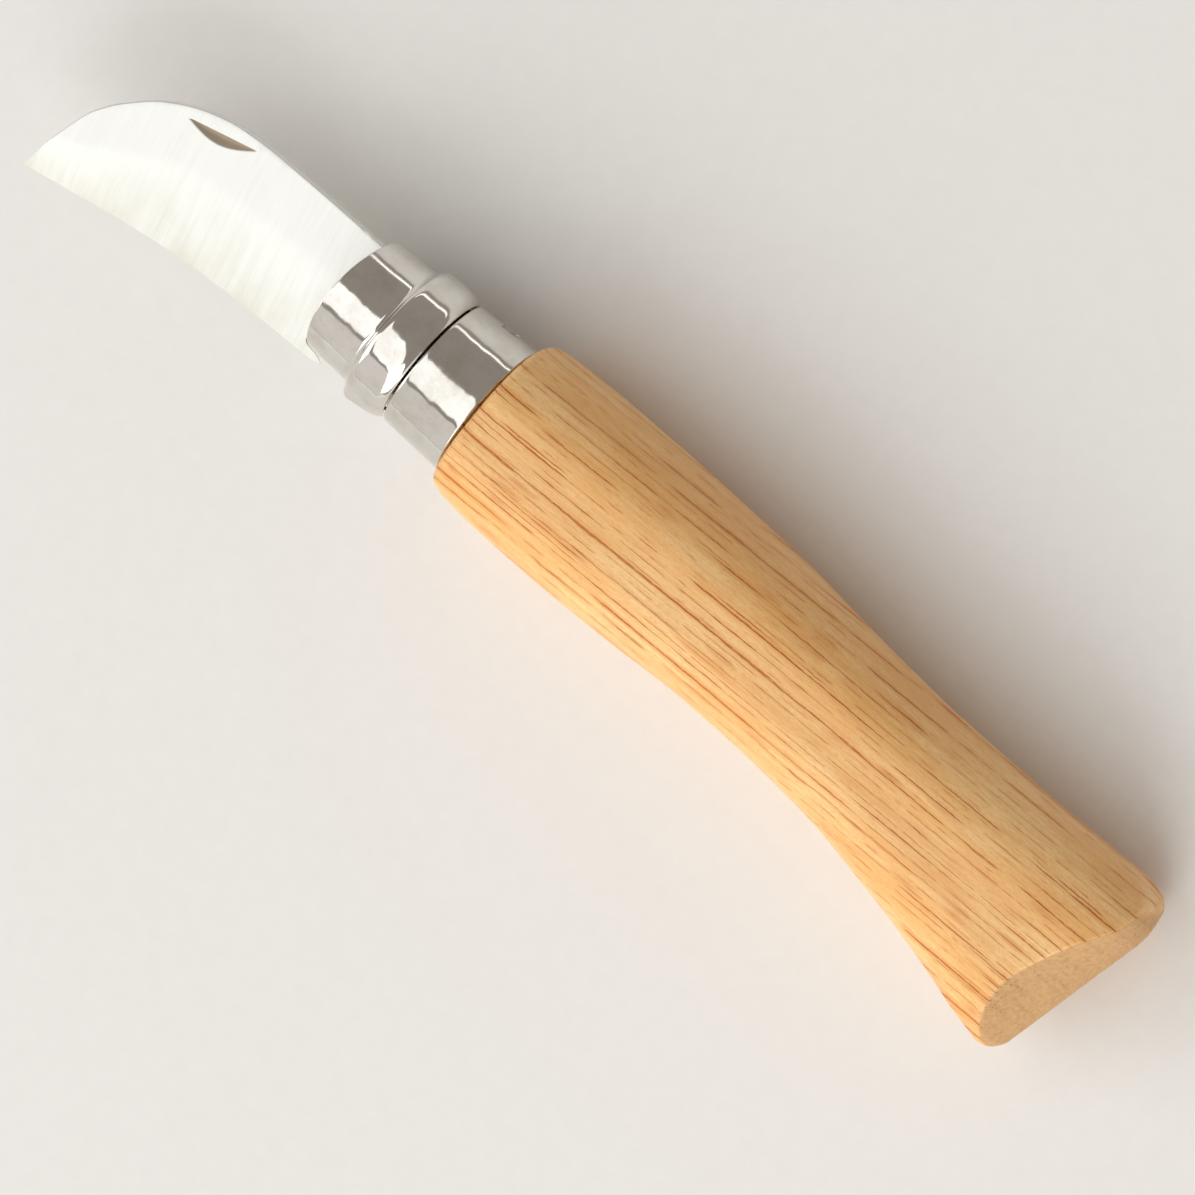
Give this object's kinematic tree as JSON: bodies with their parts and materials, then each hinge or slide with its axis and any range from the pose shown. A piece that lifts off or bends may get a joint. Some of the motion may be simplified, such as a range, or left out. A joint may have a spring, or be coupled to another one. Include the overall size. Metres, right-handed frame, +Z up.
{
  "type": "folding chestnut knife",
  "caption": "Folding knife with a short hooked sheepsfoot blade, a slotted turning lock ring and a wooden handle that flares to a slanted butt.",
  "frame": {"origin": "middle of the bounding box's underside: the knife lies open on its side, with the fingernail nick up", "axes": "+X along the handle from the blade to the butt, +Y towards the back of the blade, +Z up, out of the blade's face"},
  "size_m": [0.1332, 0.0264, 0.018],
  "materials": {
    "oiled_oak": "smooth, lightly oiled, grain along the handle",
    "polished_steel": "polished sheet steel",
    "rivet_steel": "plain drawn wire",
    "bright_steel": "polished sheet steel",
    "satin_steel": "satin ground, fine marks across the blade"
  },
  "bodies": {
    "grip": {"handle": "oiled_oak", "fixed_collar": "polished_steel", "pivot_pin": "rivet_steel"},
    "lock": {"locking_ring": "bright_steel"},
    "blade": {"blade": "satin_steel"}
  },
  "joints": [
    {"name": "blade_pivot", "type": "hinge", "parent": "grip", "child": "blade", "pos_m": [-0.0253, 0.00242, 0.009], "axis": [0, 0, 1], "range_deg": [0, 164]},
    {"name": "ring_turn", "type": "hinge", "parent": "grip", "child": "lock", "pos_m": [-0.0283, 0.00292, 0.009], "axis": [1, 0, 0], "range_deg": [0, 40]}
  ]
}
